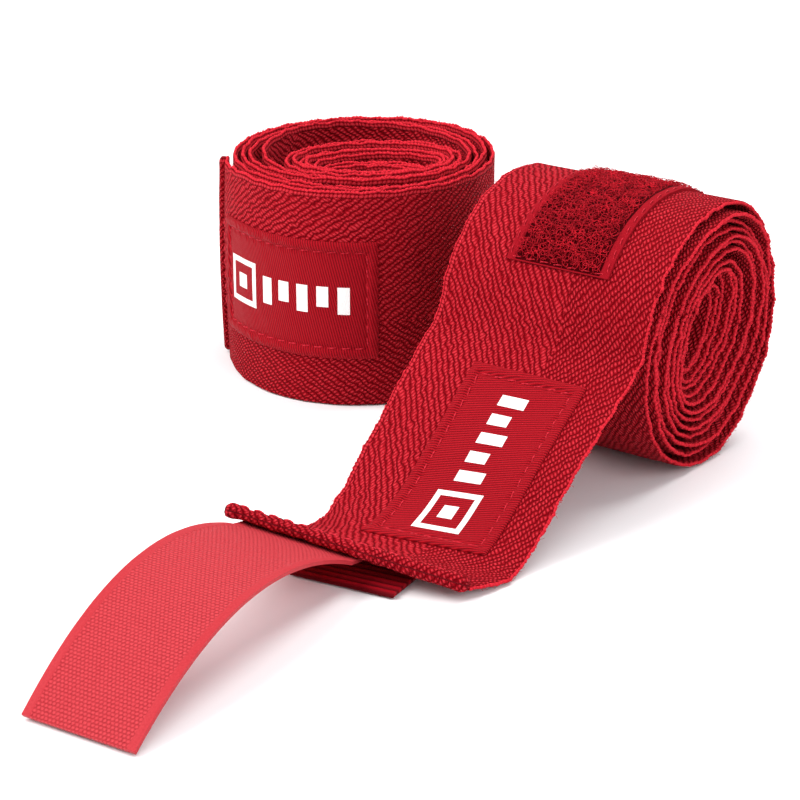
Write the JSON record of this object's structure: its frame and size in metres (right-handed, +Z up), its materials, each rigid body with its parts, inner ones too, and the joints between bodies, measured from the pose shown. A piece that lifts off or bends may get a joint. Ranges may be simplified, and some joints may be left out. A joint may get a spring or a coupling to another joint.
{
  "type": "hand wrap pair",
  "caption": "Pair of woven boxing hand wraps, one rolled closed on its edge and one on its side with its labelled end and hook strip let out.",
  "frame": {"origin": "on the surface the wraps rest on, under the middle of the pair's bounding box", "axes": "+Z up; +Y from the let-out end back towards the two rolls, along the open band; +X across the open band, away from the closed wrap"},
  "size_m": [0.1322, 0.2172, 0.059],
  "materials": {
    "band": "woven cotton, herringbone",
    "thread": "sewing thread",
    "label": "satin label, fine diagonal weave",
    "print": "matt white print",
    "pile": "curly loop pile with flat selvedges",
    "hook_tape": "woven nylon hook tape, slight sheen"
  },
  "bodies": {
    "open_roll": {"open_band_roll": "band", "open_loop_patch": "pile", "open_loop_patch_stitches": "thread", "open_thumb_loop": "band", "open_thumb_loop_stitches": "thread"},
    "open_tail": {"open_band_tail": "band", "open_end_hem": "band", "open_hem_stitches": "thread", "open_label": "label", "open_label_stitches": "thread", "open_label_emblem": "print", "open_hook_strip_seam": "hook_tape", "open_hook_stitches": "thread", "open_hook_backing": "band"},
    "open_hook_root": {"open_hook_strip_root": "hook_tape"},
    "open_hook_end": {"open_hook_strip_end": "hook_tape"},
    "closed_wrap": {"closed_band_roll": "band", "closed_end_hem": "band", "closed_hem_stitches": "thread", "closed_label": "label", "closed_label_stitches": "thread", "closed_label_emblem": "print", "closed_loop_patch": "pile", "closed_loop_patch_stitches": "thread", "closed_hook_strip_seam": "hook_tape", "closed_hook_stitches": "thread", "closed_thumb_loop": "band", "closed_thumb_loop_stitches": "thread"},
    "closed_hook": {"closed_hook_strip": "hook_tape"}
  },
  "joints": [
    {"name": "tail_lift", "type": "hinge", "parent": "open_roll", "child": "open_tail", "pos_m": [0.0411, 0.03469, 0.03434], "axis": [-1, 0, 0], "range_deg": [0, 45]},
    {"name": "hook_strip_fold", "type": "hinge", "parent": "open_tail", "child": "open_hook_root", "pos_m": [0.03249, -0.03801, 0.0077], "axis": [-0.9481, -0.2719, 0.165], "range_deg": [0, 90]},
    {"name": "hook_strip_curl", "type": "hinge", "parent": "open_hook_root", "child": "open_hook_end", "pos_m": [0.03717, -0.07275, 0.0146], "axis": [-0.9817, -0.171, 0.084], "range_deg": [0, 45]},
    {"name": "closed_wrap_lift", "type": "slide", "parent": "open_roll", "child": "closed_wrap", "axis": [0, 0, 1], "range_m": [0, 0.12]},
    {"name": "closed_hook_peel", "type": "hinge", "parent": "closed_wrap", "child": "closed_hook", "pos_m": [-0.06109, 0.05913, 0.025], "axis": [0, 0, 1], "range_deg": [0, 75]}
  ]
}
